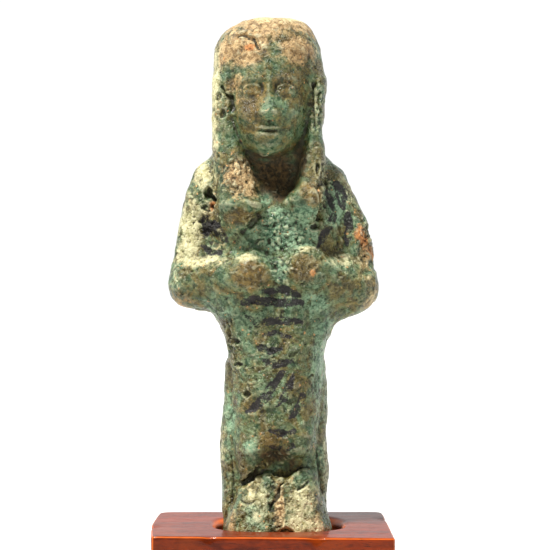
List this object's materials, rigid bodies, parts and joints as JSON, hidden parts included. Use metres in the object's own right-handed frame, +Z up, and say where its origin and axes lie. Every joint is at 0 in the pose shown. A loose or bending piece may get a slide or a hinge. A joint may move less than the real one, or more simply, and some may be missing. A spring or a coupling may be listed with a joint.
{
  "type": "ushabti figurine",
  "caption": "Small glazed funerary figurine in a long wig, forearms bent across the waist, standing in the oblong socket of a low varnished wooden block.",
  "frame": {"origin": "middle of the stand's underside", "axes": "+Z up through the figure, -Y the way the figure faces, +X to the right as seen from the front"},
  "size_m": [0.0481, 0.0398, 0.1176],
  "materials": {
    "glazed_body": "worn green and turquoise glaze, pitted, with brown and sandy patina and black painted strokes",
    "varnished_wood": "glossy orange-brown varnish over fine straight grain"
  },
  "bodies": {
    "root": {"ushabti_figure": "glazed_body", "wooden_stand": "varnished_wood"}
  },
  "joints": []
}
